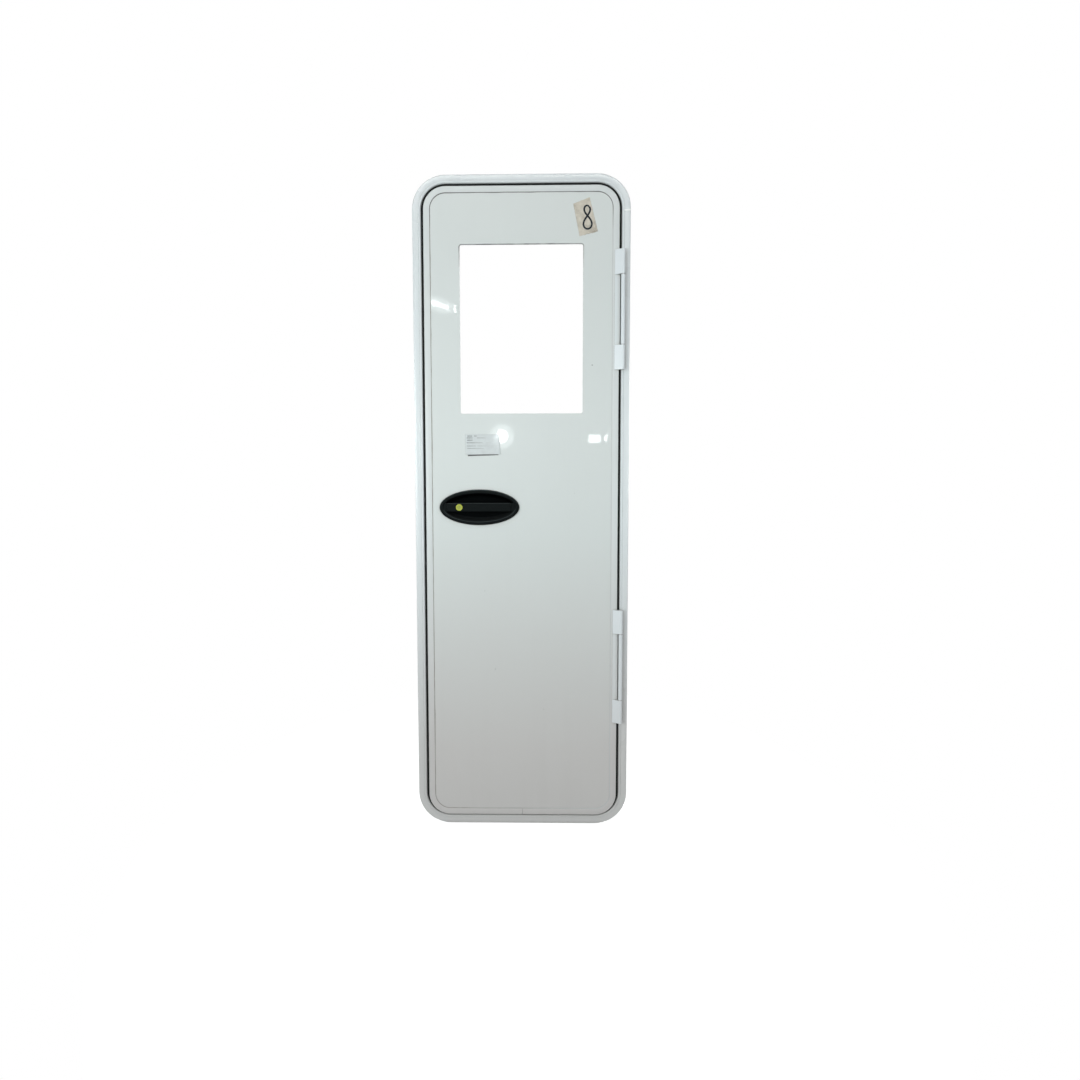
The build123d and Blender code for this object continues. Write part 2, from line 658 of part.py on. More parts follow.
def lock_plug():
    """The part of the lock that turns with the key."""
    front = BARREL_FRONT + PLUG_SETBACK
    plug = round_bar(LOCK_X, HANDLE_Z, PLUG_RADIUS, front, front + PLUG_LENGTH)
    return plug - box_between(
        (LOCK_X - KEYWAY_WIDTH / 2, LOCK_X + KEYWAY_WIDTH / 2),
        (front - 1, front + KEYWAY_DEPTH),
        (HANDLE_Z - KEYWAY_HEIGHT / 2, HANDLE_Z + KEYWAY_HEIGHT / 2),
    )


def inner_handle_plate():
    """Oval plate on the inside, opposite the dish."""
    back = SKIN_BACK + INNER_PLATE_THICKNESS
    plate = slab(handle_oval(0), SKIN_BACK, back)
    return fillet(plate.edges().sort_by(Axis.Y)[-1:], INNER_PLATE_ROUND)


def inner_handle_lever():
    """Lever on a boss, a hand's gap behind the plate."""
    plate_back = SKIN_BACK + INNER_PLATE_THICKNESS
    arm_front = plate_back + LEVER_GAP
    arm_back = arm_front + LEVER_THICKNESS
    arm_middle = LOCK_X - LEVER_HEEL + LEVER_LENGTH / 2
    arm_view = Pos(arm_middle, HANDLE_Z) * SlotOverall(LEVER_LENGTH, LEVER_WIDTH)
    arm = slab(arm_view, arm_front, arm_back)
    arm = fillet(arm.faces().sort_by(Axis.Y)[-1].edges(), LEVER_ROUND)
    return arm + round_bar(LOCK_X, HANDLE_Z, LEVER_WIDTH / 2, plate_back, arm_front)


def write_parts():
    """Writes every piece to its own file."""
    end_offset = FRAME_KNUCKLE_LENGTH / 2 + KNUCKLE_END_GAP + LEAF_KNUCKLE_LENGTH / 2
    pieces = {
        "frame_profile": frame_profile(),
        "frame_cover_strip": frame_cover_strip(),
        "weather_seal": weather_seal(),
        "stop_seal": stop_seal(),
        "latch_keeper": keeper(),
        "leaf_edge_profile": leaf_edge_profile(),
        "outer_skin": outer_skin(),
        "inner_skin": inner_skin(),
        "foam_core": foam_core(),
        "window_rail_top": window_rail(TIMBER_TOP),
        "window_rail_bottom": window_rail(TIMBER_BOTTOM - TIMBER_WIDTH),
        "window_stile_left": window_stile(-1),
        "window_stile_right": window_stile(1),
        "lock_block": lock_block(),
        "latch_forend": latch_forend(),
        "latch_bolt": latch_bolt(),
        "handle_bezel": handle_bezel(),
        "handle_pivot_pins": handle_pivot_pins(),
        "handle_bar": handle_bar(),
        "lock_barrel": lock_barrel(),
        "lock_plug": lock_plug(),
        "inner_handle_plate": inner_handle_plate(),
        "inner_handle_lever": inner_handle_lever(),
    }
    for name, middle in (("upper", UPPER_HINGE_Z), ("lower", LOWER_HINGE_Z)):
        pieces[f"{name}_frame_knuckle"] = frame_knuckle(middle)
        pieces[f"{name}_hinge_pin"] = hinge_pin(middle)
        pieces[f"{name}_leaf_knuckle_top"] = leaf_knuckle(middle + end_offset)
        pieces[f"{name}_leaf_knuckle_bottom"] = leaf_knuckle(middle - end_offset)
        pieces[f"{name}_leaf_plate"] = leaf_plate(middle)
    os.makedirs("parts", exist_ok=True)
    for name, piece in pieces.items():
        export_step(piece, f"parts/{name}.step")


write_parts()
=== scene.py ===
"""Finishes, small trim, camera and light for the caravan entry door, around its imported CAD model."""

import math

import bmesh
import bpy
from mathutils import Matrix, Vector, noise


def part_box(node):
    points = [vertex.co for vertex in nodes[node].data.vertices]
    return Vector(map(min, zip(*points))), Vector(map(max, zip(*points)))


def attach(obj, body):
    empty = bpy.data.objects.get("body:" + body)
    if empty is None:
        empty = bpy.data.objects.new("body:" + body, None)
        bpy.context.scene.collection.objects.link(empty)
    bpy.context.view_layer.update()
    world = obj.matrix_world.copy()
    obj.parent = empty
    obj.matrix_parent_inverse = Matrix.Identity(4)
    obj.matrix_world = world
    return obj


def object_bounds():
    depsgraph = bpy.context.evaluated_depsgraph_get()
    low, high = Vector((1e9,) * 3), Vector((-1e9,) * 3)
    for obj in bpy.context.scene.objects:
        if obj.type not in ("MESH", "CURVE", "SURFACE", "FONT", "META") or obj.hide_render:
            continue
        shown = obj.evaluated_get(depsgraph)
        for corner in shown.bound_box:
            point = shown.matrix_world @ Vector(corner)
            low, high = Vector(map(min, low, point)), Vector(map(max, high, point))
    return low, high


MM = 0.001

# Camera, as fitted to the door's outline in the photograph
CAMERA_PLACE = (0.0042, -1.6, 1.0104)
CAMERA_PITCH_DOWN = math.radians(3.2535)
CAMERA_TURN = math.radians(0.8609)
CAMERA_ROLL = math.radians(-0.165)
CAMERA_SENSOR = 36.0
CAMERA_LENS = 19.79
CAMERA_SHIFT = (0.0237, -0.0472)

# Light: soft lamps with their place, aim, size, power and colour, and small lamps that glint in the paint
AMBIENT = 0.34
COOL_LIGHT = (0.93, 1.0, 0.99)
WARM_LIGHT = (1.0, 0.985, 0.96)
SOFT_LAMPS = (
    ("left", (-1.4, -1.75, 1.05), (0.0, 0.0, 1.0), (1.1, 0.9), 12.8, COOL_LIGHT),
    ("right", (1.4, -1.75, 1.05), (0.0, 0.0, 1.0), (1.1, 0.9), 6.0, COOL_LIGHT),
    ("overhead", (-0.1, -2.4, 2.92), (0.0, 0.0, 1.3), (2.0, 0.16), 5.2, WARM_LIGHT),
    ("behind_left", (-1.5, 2.2, 1.2), (0.0, 0.0, 0.95), (1.1, 0.9), 10.0, COOL_LIGHT),
    ("behind_right", (1.5, 2.2, 1.2), (0.0, 0.0, 0.95), (1.1, 0.9), 10.0, COOL_LIGHT),
)
LAMP_SPREAD = math.radians(120.0)
# Glints: shape, spot on the skin in x and z, size of the lamp, turn in degrees, power
GLINTS = (
    ("round", "ELLIPSE", (-0.0525, 1.061), (0.062, 0.08), 0.0, 0.39),
    ("halo", "ELLIPSE", (-0.0525, 1.061), (0.15, 0.15), 0.0, 0.15),
    ("square", "RECTANGLE", (0.1945, 1.0535), (0.071, 0.046), 0.0, 0.132),
    ("dot", "ELLIPSE", (0.2248, 1.0555), (0.009, 0.026), 0.0, 0.034),
    ("strip", "RECTANGLE", (-0.2262, 1.4107), (0.1575, 0.025), -16.0, 0.13),
    ("strip_halo", "ELLIPSE", (-0.216, 1.4075), (0.19, 0.085), -17.0, 0.08),
    ("strip_end", "RECTANGLE", (-0.175, 1.3966), (0.013, 0.042), 0.0, 0.016),
)
GLINT_REACH = 1.3
FLOOR_SIZE = 30.0
FLOOR_GAP = 0.0005
FLOOR_GLOW = 0.6

# Trim on the leaf, seen from outside: x and z in millimetres
LABEL_CORNERS = ((-149.5, 1012.3), (-55.5, 1013.5), (-61.0, 1067.0), (-150.5, 1067.0))
LABEL_GRID = (28, 40)
LABEL_THICKNESS = 0.2
LABEL_CURL = 1.2
LABEL_CURL_SHARE = 0.1
LABEL_CURL_FADE = 0.55
# Painted shadow under the label's lifted lower edge; the last value of each point is its share of the
# line's width
LABEL_SHADOW_LINE = ((-144.0, 1011.2, 1.15), (-118.0, 1011.6, 1.0), (-88.0, 1012.0, 0.9), (-62.0, 1012.6, 0.7))
LABEL_SHADOW_WIDTH = 5.0
# Rows of grey bars: z, height and the span of each bar in x
PRINT_ROWS = (
    (1062.0, 2.8, ((-146, -132), (-127, -120))),
    (1057.0, 2.8, ((-147, -131), (-119, -96))),
    (1051.0, 2.6, ((-146, -131),)),
    (1044.0, 2.0, ((-147, -104), (-95, -83))),
    (1035.5, 1.6, ((-147, -122), (-118, -66))),
    (1029.0, 1.6, ((-146, -100),)),
)
TAPE_CORNERS = ((152.5, 1582.0), (200.5, 1593.5), (178.5, 1680.5), (136.0, 1664.5))
TAPE_GRID = (30, 60)
TAPE_THICKNESS = 0.22
TAPE_TEAR = 2.0
TAPE_WRINKLE = 0.25
END_TEAR_WAVES = 9.0
SIDE_TEAR_WAVES = 17.0
SIDE_TEAR_SHARE = 0.3
TAPE_TURN = math.radians(14.0)
PEN_LINE = (
    (178.0, 1654.0),
    (175.5, 1658.4),
    (171.0, 1659.6),
    (166.6, 1657.0),
    (164.4, 1651.0),
    (165.6, 1644.4),
    (169.6, 1638.0),
    (175.2, 1631.4),
    (181.0, 1623.6),
    (184.2, 1615.0),
    (183.0, 1606.6),
    (178.0, 1601.2),
    (171.0, 1600.4),
    (165.0, 1604.4),
    (162.6, 1611.6),
    (164.0, 1619.6),
    (168.4, 1627.4),
    (173.6, 1634.8),
    (178.2, 1642.4),
    (180.0, 1650.0),
    (178.4, 1656.4),
)
PEN_WIDTH = 4.8
PEN_STEPS = 6
PEN_THIN = 0.75
PEN_START = 18
PEN_END = 4
# Specks: x, z and radius
SPECKS = (
    (187.0, 1248.0, 1.5),
    (-73.0, 428.0, 1.1),
    (-101.0, 644.0, 0.7),
    (58.0, 316.0, 0.8),
    (141.0, 909.0, 0.6),
)
SPECK_SIDES = 18
SPECK_RISE = 0.12
SPECK_RAGGED = 0.35
# Line of painted shade round the head of the window cut-out
TRACE_WIDTH = 2.8
TRACE_REACH = 60.0
TRACE_STEP = 4.0
TRACE_HEAD_STEPS = 18
TRACE_WAVES = 45.0
TRACE_THIN = 0.8
TRACE_SWELL = 0.5
LOOP_STEP = 12.0
LOOP_CORNER_STEPS = 14

# How far each film or ink stands off the skin, in millimetres
FILM_RISE = 0.03
PRINT_RISE = 0.3
PEN_RISE = 0.62
TRACE_RISE = 0.03
LOW_MARK_RISE = 0.02

# Sealant and screws, in millimetres and radians. The bead's profile is in shares of its width and height
SEALANT_WIDTH = 1.7
SEALANT_SWELL = 0.45
SEALANT_WAVES = 31.0
SEALANT_LAP = 0.2
SEALANT_RISE = 0.02
SEALANT_HEIGHT_SHARE = 0.5
SEALANT_PROFILE = ((-0.35, 0.55), (-0.72, 0.2), (-1.0, 0.0))
JOINT_FILL_GRID = (16, 6)
JOINT_FILL_SETBACK = 0.5
JOINT_FILL_ROUGH = 0.3
SCREW_HEAD_RADIUS = 3.4
SCREW_DOME = 1.5
SCREW_RECESS = 0.5
SCREW_CENTRE = 0.55
SCREW_RINGS = 10
SCREW_SPOKES = 48
SCREW_TURN = 0.4
SCREW_DOME_FALL = 0.98
CROSS_TURN = 0.7
CROSS_HALF_WIDTH = 0.476
CROSS_REACH = 2.108
PLATE_SCREWS = ((-92.0, 0.0), (92.0, 0.0), (0.0, 35.0), (0.0, -35.0))
FOREND_SCREWS = (-60.0, 60.0)
KEEPER_SCREWS = (-40.0, 40.0)

# White coats: upper and lower colour, roughness, depth of the orange peel and of the waves in metres,
# clear gloss and its roughness
# The lower colours are painted shade, darker and warmer towards the floor.
COATS = {
    "frame_paint": ((0.66, 0.7, 0.72), (0.54, 0.525, 0.52), 0.36, 0.00003, 0.0, 0.3, 0.14),
    "cover_strip": ((0.66, 0.7, 0.72), (0.54, 0.525, 0.52), 0.28, 0.00001, 0.0, 1.0, 0.22),
    "band_paint": ((0.63, 0.66, 0.663), (0.555, 0.525, 0.52), 0.36, 0.00005, 0.0, 0.2, 0.14),
    "skin_paint": ((0.62, 0.655, 0.65), (0.55, 0.525, 0.517), 0.3, 0.00001, 0.0002, 0.55, 0.025),
    "hinge_paint": ((0.7, 0.745, 0.778), (0.66, 0.67, 0.685), 0.42, 0.00004, 0.0, 0.55, 0.14),
    "plate_paint": ((0.65, 0.69, 0.705), (0.615, 0.605, 0.607), 0.4, 0.00004, 0.0, 0.55, 0.14),
}
PEEL_SCALE = 520.0
WAVE_SCALE = 3.2
GRIME_AND_SHADE_GREY = (0.34, 0.325, 0.3)
GAP_PAINTED_SHADE = (0.03, 0.03, 0.03)
# Depths in metres over which painted shade darkens gaps and the handle's dish
GAP_REACH = 0.012
HANDLE_DEPTH = 0.009

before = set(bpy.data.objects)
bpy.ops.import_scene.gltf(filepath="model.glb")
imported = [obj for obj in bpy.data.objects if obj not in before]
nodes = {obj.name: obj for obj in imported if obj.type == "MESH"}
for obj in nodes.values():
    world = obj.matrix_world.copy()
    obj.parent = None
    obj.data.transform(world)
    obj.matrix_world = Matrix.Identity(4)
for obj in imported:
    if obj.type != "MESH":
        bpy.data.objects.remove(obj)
load_low, load_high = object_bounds()

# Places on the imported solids, in metres
SKIN_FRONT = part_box("outer_skin")[0].y
BAND_WIDTH = 16.5 * MM
BAND_RADIUS = 41.5 * MM
KEEPER_PLATE = 1.5 * MM
WINDOW_LIP = 11.0 * MM
WINDOW_RADIUS = 5.0 * MM
WINDOW_HALF_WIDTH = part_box("window_stile_right")[0].x - WINDOW_LIP
WINDOW_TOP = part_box("window_rail_top")[0].z - WINDOW_LIP
STRIP_WIDTH = 16.3 * MM
STRIP_JOINT_DROP = 94.5 * MM
STRIP_JOINT_GAP = 4.5 * MM
STRIP_EDGE_DROP = 0.8 * MM
STRIP_WALL = 2.2 * MM
JOINT_CROWN = 0.8 * MM


class Paint:
    """Writes the node tree of one material."""

    def __init__(self, name):
        self.material = bpy.data.materials.new(name)
        self.material.use_nodes = True
        self.tree = self.material.node_tree
        self.tree.nodes.clear()
        self.shader = self.add("ShaderNodeBsdfPrincipled")
        out = self.add("ShaderNodeOutputMaterial")
        self.join(self.shader.outputs["BSDF"], out.inputs["Surface"])
        self.place = self.add("ShaderNodeTexCoord").outputs["Object"]

    def add(self, kind, **settings):
        """A new node with its settings."""
        made = self.tree.nodes.new(kind)
        for name, value in settings.items():
            setattr(made, name, value)
        return made

    def join(self, source, target):
        """Links an output to an input, or writes a plain value into it."""
        if isinstance(source, bpy.types.NodeSocket):
            self.tree.links.new(source, target)
        elif isinstance(source, tuple) and len(source) == 3 and target.type == "RGBA":
            target.default_value = (*source, 1.0)
        else:
            target.default_value = source

    def stretched(self, factors):
        """The object's coordinates, scaled along each axis."""
        mapping = self.add("ShaderNodeMapping")
        self.join(self.place, mapping.inputs["Vector"])
        mapping.inputs["Scale"].default_value = factors
        return mapping.outputs["Vector"]

    def noise(self, scale, detail=3.0, rough=0.5, stretch=None, warp=0.0):
        """Smooth noise from 0 to 1."""
        made = self.add("ShaderNodeTexNoise")
        self.join(self.stretched(stretch) if stretch else self.place, made.inputs["Vector"])
        made.inputs["Scale"].default_value = scale
        made.inputs["Detail"].default_value = detail
        made.inputs["Roughness"].default_value = rough
        made.inputs["Distortion"].default_value = warp
        return made.outputs["Fac"]

    def open_share(self, distance):
        """The free share of the surroundings out to a distance: 1 in the open, near 0 in a narrow gap."""
        made = self.add("ShaderNodeAmbientOcclusion", samples=4)
        made.inputs["Distance"].default_value = distance
        return made.outputs["AO"]

    def axis(self, letter, vector=None):
        """One coordinate in metres, or one part of another vector."""
        made = self.add("ShaderNodeSeparateXYZ")
        self.join(self.place if vector is None else vector, made.inputs["Vector"])
        return made.outputs[letter]

    def upward(self):
        """How far the surface faces up, which sets the painted top light: 1 for level, below 0 for
        hanging.
        """
        return self.axis("Z", self.add("ShaderNodeNewGeometry").outputs["Normal"])

    def spread(self, value, low, high, to_low=0.0, to_high=1.0):
        """A value's range, carried to another range and held there."""
        made = self.add("ShaderNodeMapRange", clamp=True)
        self.join(value, made.inputs["Value"])
        ends = {"From Min": low, "From Max": high, "To Min": to_low, "To Max": to_high}
        for name, number in ends.items():
            made.inputs[name].default_value = number
        return made.outputs["Result"]

    def maths(self, operation, first, second=0.0):
        """Plain arithmetic on two values."""
        made = self.add("ShaderNodeMath", operation=operation)
        self.join(first, made.inputs[0])
        self.join(second, made.inputs[1])
        return made.outputs["Value"]

    def mix(self, share, first, second):
        """One colour turning into another."""
        made = self.add("ShaderNodeMix", data_type="RGBA")
        self.join(share, made.inputs["Factor"])
        self.join(first, made.inputs[6])
        self.join(second, made.inputs[7])
        return made.outputs[2]

    def bump(self, height, depth, below=None):
        """A normal from a height, as deep as given in metres."""
        made = self.add("ShaderNodeBump")
        made.inputs["Strength"].default_value = 1.0
        made.inputs["Distance"].default_value = depth
        self.join(height, made.inputs["Height"])
        if below is not None:
            self.join(below, made.inputs["Normal"])
        return made.outputs["Normal"]

    def finish(self, colour, roughness, normal=None, **sockets):
        """Sets the shader and gives back the material."""
        self.join(colour, self.shader.inputs["Base Color"])
        self.join(roughness, self.shader.inputs["Roughness"])
        if normal is not None:
            self.join(normal, self.shader.inputs["Normal"])
        for name, value in sockets.items():
            self.join(value, self.shader.inputs[name.replace("_", " ")])
        return self.material


def paint_coat(name, upper, lower, rough, peel_depth, wave_depth, gloss, gloss_rough):
    """White paint on metal, with rain streaks and orange peel; painted shade darkens it low down and in
    gaps.
    """
    p = Paint(name)
    # Painted shade: the coat turns from its upper to its lower colour towards the floor, where the light
    # falls off.
    height = p.spread(p.axis("Z"), 0.2, 0.8)
    cloud = p.noise(2.6, 4.0, 0.55)
    base = p.mix(p.maths("MULTIPLY", cloud, 0.25), lower, upper)
    base = p.mix(height, base, upper)
    streak = p.spread(p.noise(1.0, 4.0, 0.6, (26.0, 26.0, 1.7)), 0.5, 0.78)
    low_dirt = p.spread(p.axis("Z"), 0.0, 0.45, 1.0, 0.25)
    veil = p.maths("MULTIPLY", p.maths("MULTIPLY", streak, low_dirt), 0.07)
    base = p.mix(veil, base, GRIME_AND_SHADE_GREY)
    # Painted shade: grey, then near black, where the surroundings close in, as in corners and gaps.
    free = p.open_share(GAP_REACH)
    base = p.mix(p.spread(free, 0.45, 0.95, 0.6, 0.0), base, GRIME_AND_SHADE_GREY)
    base = p.mix(p.spread(free, 0.15, 0.45, 0.9, 0.0), base, GAP_PAINTED_SHADE)
    patchy = p.spread(p.noise(5.0, 2.0, 0.5), 0.2, 0.8, rough * 0.9, rough * 1.15)
    normal = p.bump(p.noise(PEEL_SCALE, 2.0, 0.5), peel_depth)
    if wave_depth:
        normal = p.bump(p.noise(WAVE_SCALE, 2.0, 0.4), wave_depth, normal)
    return p.finish(base, patchy, normal, Coat_Weight=gloss, Coat_Roughness=gloss_rough)


def rubber(name):
    """Black rubber with a bloom of dust."""
    p = Paint(name)
    bloom = p.spread(p.noise(34.0, 5.0, 0.7), 0.48, 0.8)
    colour = p.mix(p.maths("MULTIPLY", bloom, 0.35), (0.004, 0.0045, 0.005), (0.02, 0.02, 0.019))
    rough = p.spread(bloom, 0.0, 1.0, 0.55, 0.8)
    normal = p.bump(p.noise(900.0, 2.0), 0.00006)
    return p.finish(colour, rough, normal, Specular_IOR_Level=0.15)


def moulded_plastic(name, front):
    """Black finely grained moulding, smooth where handled, with painted shade deep in and painted light
    on top.
    """
    p = Paint(name)
    depth = p.spread(p.axis("Y"), front, front + HANDLE_DEPTH)
    worn = p.spread(p.noise(17.0, 4.0, 0.6), 0.4, 0.72)
    dust = p.spread(p.noise(230.0, 3.0, 0.65), 0.62, 0.8)
    colour = p.mix(worn, (0.0022, 0.0028, 0.003), (0.0036, 0.0045, 0.0047))
    # Painted shade: darker the deeper it lies behind the front, as in the dish.
    colour = p.mix(p.maths("MULTIPLY", depth, 0.6), colour, (0.0008, 0.001, 0.0012))
    colour = p.mix(p.maths("MULTIPLY", dust, 0.05), colour, (0.06, 0.06, 0.055))
    # Painted top light: faces that look up are made lighter, a little unevenly.
    up = p.upward()
    ledge = p.spread(up, 0.3, 0.9)
    painted_top_light = p.maths("MULTIPLY", ledge, p.spread(p.noise(90.0, 4.0), 0.2, 0.7, 0.6, 1.0))
    colour = p.mix(p.maths("MULTIPLY", painted_top_light, 0.3), colour, (0.04, 0.046, 0.047))
    # Painted highlight: lighter on rounds that face partly up, and only near the front.
    wear_and_highlight = p.maths("MULTIPLY", p.spread(up, 0.15, 0.45), p.spread(up, 0.6, 0.88, 1.0, 0.0))
    wear_and_highlight = p.maths("MULTIPLY", wear_and_highlight, p.spread(depth, 0.0, 0.35, 0.6, 0.0))
    colour = p.mix(wear_and_highlight, colour, (0.06, 0.07, 0.072))
    rough = p.spread(worn, 0.0, 1.0, 0.44, 0.32)
    grain = p.maths("ADD", p.noise(1500.0, 2.0, 0.6), p.maths("MULTIPLY", p.noise(620.0, 1.0), 0.6))
    # Painted shade on the gloss too: the deeper surfaces reflect less.
    sheen = p.spread(depth, 0.0, 0.7, 0.07, 0.012)
    tint = (0.82, 1.0, 1.0)
    return p.finish(colour, rough, p.bump(grain, 0.00007), Specular_IOR_Level=sheen, Specular_Tint=tint)


def coated_metal(name, colour, worn_colour, roughness):
    """A thin tinted coat on turned metal, with faint rings of wear."""
    p = Paint(name)
    wear = p.spread(p.noise(160.0, 4.0, 0.65), 0.45, 0.75)
    tint = p.mix(p.maths("MULTIPLY", wear, 0.55), colour, worn_colour)
    rough = p.spread(wear, 0.0, 1.0, roughness, roughness + 0.2)
    normal = p.bump(p.noise(900.0, 2.0), 0.00004)
    return p.finish(tint, rough, normal, Metallic=0.1, Specular_IOR_Level=0.3)


def brushed_steel(name):
    """Plain zinc-grey steel, brushed along its length, with dull spots."""
    p = Paint(name)
    brush = p.noise(1.0, 3.0, 0.6, (1400.0, 1400.0, 22.0))
    spots = p.spread(p.noise(120.0, 4.0, 0.6), 0.55, 0.8)
    colour = p.mix(brush, (0.43, 0.43, 0.43), (0.6, 0.6, 0.59))
    colour = p.mix(p.maths("MULTIPLY", spots, 0.5), colour, (0.25, 0.22, 0.19))
    rough = p.spread(brush, 0.2, 0.8, 0.28, 0.46)
    return p.finish(colour, rough, p.bump(brush, 0.00002), Metallic=1.0)


def softwood(name, along):
    """Raw softwood whose grain runs along one axis."""
    p = Paint(name)
    across = tuple(2.2 if letter == along else 95.0 for letter in "XYZ")
    fine = tuple(16.0 if letter == along else 900.0 for letter in "XYZ")
    rings = p.spread(p.noise(1.0, 4.0, 0.6, across, 0.6), 0.32, 0.68)
    fibre = p.noise(1.0, 3.0, 0.6, fine)
    colour = p.mix(rings, (0.3, 0.19, 0.105), (0.46, 0.33, 0.2))
    colour = p.mix(p.maths("MULTIPLY", fibre, 0.4), colour, (0.22, 0.15, 0.095))
    grey = p.spread(p.noise(7.0, 3.0), 0.4, 0.75)
    colour = p.mix(p.maths("MULTIPLY", grey, 0.35), colour, (0.2, 0.185, 0.165))
    return p.finish(colour, p.spread(fibre, 0.2, 0.8, 0.62, 0.85), p.bump(fibre, 0.00025))


def painted_wood(name, along):
    """Softwood under old white paint: the grain still telegraphs through, and the arrises are worn."""
    p = Paint(name)
    fine = tuple(9.0 if letter == along else 420.0 for letter in "XYZ")
    fibre = p.noise(1.0, 4.0, 0.6, fine)
    # Wear on the arrises, showing the wood through the paint.
    wear_and_highlight = p.spread(p.noise(48.0, 5.0, 0.7), 0.6, 0.72)
    colour = p.mix(p.noise(6.0, 4.0, 0.6), (0.6, 0.61, 0.6), (0.68, 0.69, 0.685))
    colour = p.mix(p.spread(fibre, 0.55, 0.85, 0.0, 0.25), colour, (0.45, 0.44, 0.41))
    colour = p.mix(p.maths("MULTIPLY", wear_and_highlight, 0.4), colour, (0.36, 0.29, 0.2))
    return p.finish(colour, p.spread(fibre, 0.2, 0.8, 0.45, 0.65), p.bump(fibre, 0.0002))


def grained_laminate(name):
    """Pale laminate with a pressed leather-like grain."""
    p = Paint(name)
    cells = p.add("ShaderNodeTexVoronoi", feature="F1")
    p.join(p.place, cells.inputs["Vector"])
    cells.inputs["Scale"].default_value = 620.0
    broad = p.noise(3.0, 4.0, 0.6)
    colour = p.mix(broad, (0.5, 0.485, 0.44), (0.62, 0.605, 0.56))
    stain = p.spread(p.noise(11.0, 5.0, 0.65), 0.58, 0.82)
    colour = p.mix(p.maths("MULTIPLY", stain, 0.25), colour, (0.36, 0.32, 0.25))
    rough = p.spread(broad, 0.2, 0.8, 0.42, 0.6)
    return p.finish(colour, rough, p.bump(cells.outputs["Distance"], 0.00018))


def closed_foam(name):
    """Pale closed-cell foam."""
    p = Paint(name)
    cells = p.add("ShaderNodeTexVoronoi", feature="F1")
    p.join(p.place, cells.inputs["Vector"])
    cells.inputs["Scale"].default_value = 420.0
    colour = p.mix(cells.outputs["Distance"], (0.62, 0.66, 0.7), (0.45, 0.5, 0.55))
    return p.finish(colour, 0.9, p.bump(cells.outputs["Distance"], 0.0006))


def crepe_paper(name):
    """Masking tape: beige crepe with ridges across it, greyed by handling."""
    p = Paint(name)
    turned = p.add("ShaderNodeMapping")
    p.join(p.place, turned.inputs["Vector"])
    turned.inputs["Rotation"].default_value = (0.0, -TAPE_TURN, 0.0)
    turned.inputs["Scale"].default_value = (110.0, 110.0, 900.0)
    ridges = p.add("ShaderNodeTexNoise")
    p.join(turned.outputs["Vector"], ridges.inputs["Vector"])
    ridges.inputs["Scale"].default_value = 1.0
    ridges.inputs["Detail"].default_value = 3.0
    crepe = ridges.outputs["Fac"]
    handled = p.spread(p.noise(75.0, 5.0, 0.65), 0.4, 0.72)
    colour = p.mix(handled, (0.68, 0.63, 0.55), (0.5, 0.455, 0.385))
    colour = p.mix(p.spread(crepe, 0.45, 0.75, 0.0, 0.3), colour, (0.36, 0.335, 0.265))
    corner = TAPE_CORNERS[1]
    from_corner = p.add("ShaderNodeVectorMath", operation="DISTANCE")
    p.join(p.place, from_corner.inputs[0])
    from_corner.inputs[1].default_value = (corner[0] * MM, SKIN_FRONT, corner[1] * MM)
    soiled = p.spread(from_corner.outputs["Value"], 0.004, 0.036, 1.0, 0.12)
    soiled = p.maths("MULTIPLY", soiled, p.spread(p.noise(260.0, 5.0, 0.75), 0.36, 0.6))
    colour = p.mix(p.maths("MULTIPLY", soiled, 0.8), colour, (0.2, 0.165, 0.13))
    return p.finish(colour, 0.78, p.bump(crepe, 0.00016))


def label_film(name):
    """Pale satin film, a little greyer than the paint under it."""
    p = Paint(name)
    cloud = p.spread(p.noise(60.0, 4.0, 0.6), 0.35, 0.7)
    colour = p.mix(cloud, (0.585, 0.62, 0.63), (0.53, 0.56, 0.57))
    scratch = p.spread(p.noise(1.0, 3.0, 0.6, (90.0, 90.0, 900.0)), 0.62, 0.72)
    rough = p.spread(scratch, 0.0, 1.0, 0.32, 0.5)
    normal = p.bump(p.noise(90.0, 3.0), 0.00012)
    return p.finish(colour, rough, normal, Coat_Weight=0.22, Coat_Roughness=0.06)


def faded_print(name):
    """Grey print that has worn thin, most at the right."""
    p = Paint(name)
    faded = p.spread(p.noise(300.0, 4.0, 0.7), 0.35, 0.65)
    ink = p.mix(faded, (0.15, 0.165, 0.175), (0.4, 0.425, 0.43))
    return p.finish(p.mix(p.spread(p.axis("X"), -0.14, -0.09), ink, (0.53, 0.555, 0.56)), 0.45)


def painted_edge_shadow(name):
    """Painted shadow along the lifted lower edge of the label, darkest at the left."""
    p = Paint(name)
    patchy = p.spread(p.noise(140.0, 4.0, 0.7), 0.35, 0.7)
    dark_mark = p.mix(p.spread(p.axis("X"), -0.145, -0.06), (0.05, 0.05, 0.05), (0.16, 0.165, 0.17))
    return p.finish(p.mix(p.maths("MULTIPLY", patchy, 0.2), dark_mark, (0.36, 0.35, 0.34)), 0.8)


def painted_head_shade(name):
    """Painted shade round the head of the window, darkest left of the middle, paling down the sides."""
    p = Paint(name)
    patchy = p.spread(p.noise(60.0, 4.0, 0.65), 0.35, 0.7)
    fade = p.spread(p.maths("ABSOLUTE", p.maths("ADD", p.axis("X"), 0.04)), 0.02, 0.17)
    dark_mark = p.mix(fade, (0.025, 0.025, 0.025), (0.27, 0.275, 0.275))
    side = p.spread(p.axis("Z"), WINDOW_TOP - TRACE_REACH * MM, WINDOW_TOP - 0.004, 1.0, 0.0)
    dark_mark = p.mix(side, dark_mark, (0.58, 0.6, 0.595))
    return p.finish(p.mix(p.maths("MULTIPLY", patchy, 0.25), dark_mark, (0.36, 0.355, 0.345)), 0.75)


